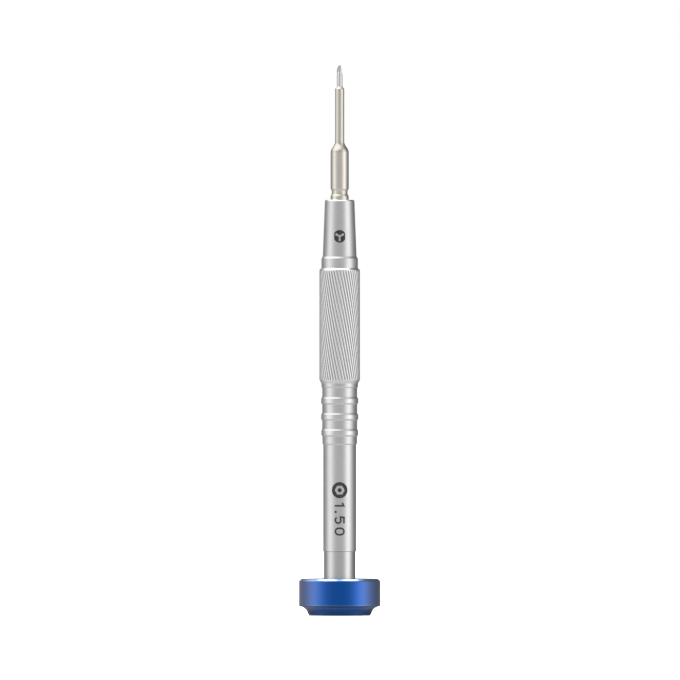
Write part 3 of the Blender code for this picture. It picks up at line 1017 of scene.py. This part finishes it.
def make_end_disc():
    """Cover in the cap's end face, with turned grooves."""
    corners = [(0.0, DISC_TOP), (DISC_R, DISC_TOP, 0.08), (DISC_R, DISC_BASE, 0.15)]
    for outer in (DISC_R - 0.9, DISC_R - 1.4):
        corners += [
            (outer, DISC_BASE, 0.05),
            (outer - 0.12, DISC_BASE + 0.12, 0.05),
            (outer - 0.24, DISC_BASE, 0.05),
        ]
    corners.append((0.0, DISC_BASE))
    return turned("end_disc", corners)


piece(make_cap(), cap_blue, "cap", "cap_blue_anodised", "cap_shell")
piece(make_end_disc(), disc_blue, "cap", "disc_blue_anodised", "cap_end_disc")


# ---- bearing


def make_ball_tree():
    """Balls set evenly round a pitch circle."""
    tree, given = new_geometry_group(
        "ball_set",
        {
            "Balls": BALLS,
            "Pitch radius": BALL_PITCH_R * MM,
            "Ball radius": BALL_R * MM,
            "Height": BEARING_MIDDLE * MM,
        },
    )
    places = add_node(
        tree, "GeometryNodeMeshCircle", {"Vertices": given["Balls"], "Radius": given["Pitch radius"]}
    ).outputs[0]
    ball = add_node(
        tree, "GeometryNodeMeshUVSphere", {"Segments": 32, "Rings": 20, "Radius": given["Ball radius"]}
    ).outputs[0]
    shift = add_node(tree, "ShaderNodeCombineXYZ", {2: given["Height"]}).outputs[0]
    raised = add_node(tree, "GeometryNodeSetPosition", {"Geometry": places, "Offset": shift}).outputs[0]
    spread = add_node(tree, "GeometryNodeInstanceOnPoints", {"Points": raised, "Instance": ball}).outputs[0]
    return close_geometry(tree, spread, given["Finish"])


piece(
    grown("bearing_ball_set", make_ball_tree(), {"Finish": ball_steel}),
    None,
    "bearing_cage",
    "ball_steel",
    *[f"bearing_ball_{index + 1}" for index in range(BALLS)],
)

carried_over = {
    "bit_magnet": magnet_nickel,
    "bearing_inner_ring": bearing_steel,
    "bearing_outer_ring": bearing_steel,
    "bearing_shield_front": shield_steel,
    "bearing_shield_rear": shield_steel,
    "bearing_cage": cage_steel,
    "screw_washer": zinc_plate,
    "retaining_screw": zinc_plate,
}
for node, material in carried_over.items():
    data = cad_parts[node].data
    data.materials.clear()
    data.materials.append(material)


# ---- laser marks

MARK_THICKNESS = 0.024
MARK_STRIP = 0.15  # width of the strips a mark is bent in
DIGIT_HEIGHT = 2.81
STROKE = 0.47


def flat_circle(radius, points=96, limit=math.inf):
    """A closed outline of a circle; limit cuts it flat at that distance left and right."""
    return [
        (max(-limit, min(limit, radius * math.cos(turn))), radius * math.sin(turn))
        for turn in whole_turn(points)
    ]


def three_spokes(length, width, end_radius):
    """Outline of the point's section as a symbol: three spokes with rounded, slightly fuller ends."""
    half = width / 2
    crotch = half / math.sin(math.pi / 3)
    tuck = math.asin(half / end_radius)
    outline = []
    for spoke in range(3):
        direction = math.radians(-90 + 120 * spoke)
        along = Vector((math.cos(direction), math.sin(direction)))
        across = Vector((-along.y, along.x))
        middle = direction - math.pi / 3
        outline.append((crotch * math.cos(middle), crotch * math.sin(middle)))
        for step in range(13):
            turn = -math.pi + tuck + (math.tau - 2 * tuck) * step / 12
            point = along * (length + end_radius * math.cos(turn)) + across * end_radius * math.sin(turn)
            outline.append(tuple(point))
    return outline


def outline_curve(loops):
    """A filled 2D curve of closed outlines, where an outline inside another is a hole."""
    curve = bpy.data.curves.new("outline", "CURVE")
    curve.dimensions = "2D"
    curve.fill_mode = "BOTH"
    for loop in loops:
        spline = curve.splines.new("POLY")
        spline.points.add(len(loop) - 1)
        for point, (x, y) in zip(spline.points, loop):
            point.co = (x, y, 0.0, 1.0)
        spline.use_cyclic_u = True
    return curve


def plate(loops):
    """A closed flat plate, in millimetres, of closed outlines."""
    curve = outline_curve(loops)
    curve.extrude = MARK_THICKNESS / 2
    holder = placed("outline", curve)
    mesh = evaluated_mesh(holder)
    bpy.data.objects.remove(holder)
    shape = bmesh.new()
    shape.from_mesh(mesh)
    bpy.data.meshes.remove(mesh)
    bmesh.ops.remove_doubles(shape, verts=shape.verts, dist=1e-4)
    return shape


def stroke_outline(points):
    """Outline of a stroke of even width along straight runs, mitred at its corners and cut square."""
    half = STROKE / 2
    path = [Vector(point) for point in points]
    left, right = [], []
    for index, here in enumerate(path):
        before = (here - path[index - 1]).normalized() if index else None
        after = (path[index + 1] - here).normalized() if index + 1 < len(path) else None
        first, second = before or after, after or before
        side = Vector((-first.y - second.y, first.x + second.x)).normalized()
        reach = half / max(side.dot(Vector((-first.y, first.x))), 0.3)
        left.append(tuple(here + side * reach))
        right.append(tuple(here - side * reach))
    return left + right[::-1]


def size_digits():
    """Outlines of the blade's diameter, 1.50, in plain block digits centred on the origin."""
    half = STROKE / 2
    top, base = DIGIT_HEIGHT / 2 - half, -DIGIT_HEIGHT / 2 + half
    foot = base - half
    one = stroke_outline([(-4.35, 0.72), (-3.55, top - 0.05), (-3.55, foot)])
    point = [(-2.2, foot), (-1.62, foot), (-1.62, foot + 0.58), (-2.2, foot + 0.58)]
    five = stroke_outline(
        [(1.15, top), (-0.42, top), (-0.52, 0.22), *arc((0.28, -0.42), 0.82, 0.75, 118, -150, 20)]
    )
    zero = []
    for inset in (0.0, STROKE):
        across, up = 1.1 - inset, DIGIT_HEIGHT / 2 - 0.25 - inset
        upper = arc((3.35, 0.25), across, up, 0, 180, 14)
        lower = arc((3.35, -0.25), across, up, 180, 360, 14)
        zero.append(upper + lower)
    return [one, point, five, *zero]


def wrapped(name, shape, centre, radius_at, quarter_turn=False):
    """Bends a flat plate round the tool's front, with its middle at a height and half of it sunk in."""
    if quarter_turn:
        bmesh.ops.rotate(shape, verts=shape.verts, matrix=Matrix.Rotation(-math.pi / 2, 3, "Z"))
    low_x = min(vertex.co.x for vertex in shape.verts)
    high_x = max(vertex.co.x for vertex in shape.verts)
    for index in range(1, math.ceil((high_x - low_x) / MARK_STRIP)):
        everything = list(shape.verts) + list(shape.edges) + list(shape.faces)
        cut = (low_x + index * MARK_STRIP, 0.0, 0.0)
        bmesh.ops.bisect_plane(shape, geom=everything, plane_co=cut, plane_no=(1.0, 0.0, 0.0), dist=1e-5)
    for vertex in shape.verts:
        height = centre + vertex.co.y
        radius = radius_at(height)
        turn = FRONT + vertex.co.x / radius
        out = radius + vertex.co.z
        vertex.co = (out * math.cos(turn), out * math.sin(turn), height)
    return finished_mesh(name, shape)


def nose_radius(height):
    share = (NOSE_TOP - height) / (NOSE_TOP - NOSE_BASE)
    return NOSE_TOP_R + (NOSE_BASE_R - NOSE_TOP_R) * share


def barrel_radius(_height):
    return BARREL_R


def mark_handle(name, outlines, centre, radius_at, quarter_turn=False):
    """Marks the handle's front with closed outlines round a height."""
    mesh = wrapped(name, plate(outlines), centre, radius_at, quarter_turn)
    piece(mesh, laser_black, "handle", "handle_aluminium")


nut = [flat_circle(2.165), flat_circle(1.35, points=6), flat_circle(0.55, points=48)]
mark_handle(
    "nose_symbol", [flat_circle(1.70, limit=1.5), three_spokes(1.0, 0.43, 0.31)], 101.9, nose_radius
)
mark_handle("barrel_symbol", nut, 33.7, barrel_radius)
mark_handle("size_number", size_digits(), 25.95, barrel_radius, quarter_turn=True)


def make_end_symbol():
    """The point's symbol marked flat on the end face."""
    shape = plate([flat_circle(2.3), three_spokes(1.35, 0.55, 0.4)])
    bmesh.ops.translate(shape, verts=shape.verts, vec=(0.0, 0.0, DISC_BASE))
    return finished_mesh("end_symbol", shape)


piece(make_end_symbol(), laser_black, "cap", "disc_blue_anodised")


# ---- floor, light and camera


def make_floor():
    """Pale studio floor, clear from below and left out of reflections, which show the room below it."""
    size = 6.0
    gap = 0.00002  # keeps it off the cap's end face
    shape = bmesh.new()
    bmesh.ops.create_grid(shape, x_segments=2, y_segments=2, size=size)
    bmesh.ops.translate(shape, verts=shape.verts, vec=(0.0, 0.0, -gap))
    mesh = bpy.data.meshes.new("studio_floor")
    shape.to_mesh(mesh)
    shape.free()
    material, tree, shader, position = empty_material("studio_floor")
    cloud = ramp(tree, noise(tree, position, 3.0, 2.0), 0.3, 0.7)
    pale = blend_colour(tree, cloud, (0.93, 0.93, 0.93), (0.95, 0.95, 0.95))
    tree.links.new(pale, shader.inputs["Base Color"])
    set_constants(
        shader, Roughness=0.9, Specular_IOR_Level=0.0, Emission_Color=(1.0, 1.0, 1.0, 1.0),
        Emission_Strength=0.5,
    )
    underside = add_node(tree, "ShaderNodeNewGeometry").outputs["Backfacing"]
    clear = add_node(tree, "ShaderNodeBsdfTransparent").outputs[0]
    sides = add_node(tree, "ShaderNodeMixShader", {0: underside, 1: shader.outputs[0], 2: clear})
    tree.links.new(sides.outputs[0], tree.nodes["Material Output"].inputs["Surface"])
    mesh.materials.append(material)
    floor = placed("studio_floor", mesh)
    floor.visible_glossy = False
    floor.visible_shadow = False


FILL = 1.12  # radiance that reaches everything but the metal's reflections and the eye
BACKDROP = 1.0
ROOM = 0.54
GROUND = 0.7


def soft_glow(tree, bearing, middle_angle, spread, strength):
    """A soft-edged upright band of light at a bearing from the tool's front."""
    band = bell(tree, bearing, math.radians(middle_angle), math.radians(spread))
    return times(tree, band, strength)


def make_world():
    """White backdrop to the eye; in reflections a grey room with two soft bands and a pale ceiling."""
    world = bpy.data.worlds.new("studio")
    world.use_nodes = True
    bpy.context.scene.world = world
    tree = world.node_tree
    tree.nodes.clear()
    direction = add_node(tree, "ShaderNodeTexCoord").outputs["Generated"]
    across, along, up = add_node(tree, "ShaderNodeSeparateXYZ", {0: direction}).outputs
    bearing = calc(tree, "ARCTAN2", across, times(tree, along, -1.0))
    turned_away = calc(tree, "ABSOLUTE", bearing)
    rear = ramp(tree, across, -0.3, 0.3, 0.30, 0.17)
    behind = ramp(tree, turned_away, math.radians(70.0), math.radians(140.0))
    room = calc(tree, "MULTIPLY_ADD", behind, minus(tree, rear, ROOM), ROOM)
    left = soft_glow(tree, bearing, -71.0, 19.0, 0.66)
    right = soft_glow(tree, bearing, 63.0, 17.0, 0.91)
    high_up = ramp(tree, up, 0.5, 0.9)
    bands = times(tree, plus(tree, left, right), minus(tree, 1.0, high_up))
    dimmed = calc(tree, "MULTIPLY_ADD", bell(tree, up, 0.38, 0.16), -0.22, 1.0)
    wall = times(tree, plus(tree, room, bands), dimmed)
    shade_side = calc(tree, "MULTIPLY_ADD", along, 0.6, across)
    ceiling = ramp(tree, shade_side, 0.35, 0.9, 1.45, 0.22)
    upward = ramp(tree, calc(tree, "MULTIPLY_ADD", across, -0.45, up), 0.6, 0.95)
    downward = ramp(tree, up, -0.8, -0.25, 1.0, 0.0)
    lit = calc(tree, "MULTIPLY_ADD", upward, minus(tree, ceiling, wall), wall)
    lit = calc(tree, "MULTIPLY_ADD", downward, minus(tree, GROUND, lit), lit)
    path = add_node(tree, "ShaderNodeLightPath").outputs
    to_metal = times(tree, path["Is Glossy Ray"], minus(tree, lit, FILL))
    to_eye = times(tree, path["Is Camera Ray"], BACKDROP - FILL)
    radiance = plus(tree, plus(tree, to_metal, to_eye), FILL)
    light = add_node(tree, "ShaderNodeBackground", {"Strength": radiance})
    light.inputs["Color"].default_value = (1.0, 1.0, 1.0, 1.0)
    leave = tree.nodes.new("ShaderNodeOutputWorld")
    tree.links.new(light.outputs[0], leave.inputs["Surface"])


make_floor()
make_world()

BOX_WIDTH = 1.0
BOX_DEPTH = 0.5
BOX_RADIANCE = 6.5
lamp = bpy.data.lights.new("overhead_box", "AREA")
lamp.shape = "RECTANGLE"
lamp.size = BOX_WIDTH
lamp.size_y = BOX_DEPTH
lamp.energy = BOX_RADIANCE * BOX_WIDTH * BOX_DEPTH * math.pi
box = placed("overhead_box", lamp)
box.location = (-0.03, 0.3, 1.2)
box.rotation_euler = (Vector((0.0, 0.0, 0.08)) - box.location).to_track_quat("-Z", "Y").to_euler()
box.visible_camera = False

CAMERA_LENS = 1200.0
FRAME_HEIGHT = 0.1828  # height the camera takes in at the tool's axis
CAMERA_TILT = math.radians(0.25)
target = Vector((0.00009, 0.0, 0.07403))
camera_data = bpy.data.cameras.new("camera")
camera_data.sensor_width = 36.0
camera_data.lens = CAMERA_LENS
camera_data.clip_end = 20.0
camera = placed("camera", camera_data)
offset = Vector((0.0, -math.cos(CAMERA_TILT), math.sin(CAMERA_TILT))) * (
    CAMERA_LENS / camera_data.sensor_width * FRAME_HEIGHT
)
camera.location = target + offset
camera.rotation_euler = (-offset).to_track_quat("-Z", "Y").to_euler()
bpy.context.scene.camera = camera
bpy.context.scene.view_settings.view_transform = "Standard"

bpy.context.view_layer.update()
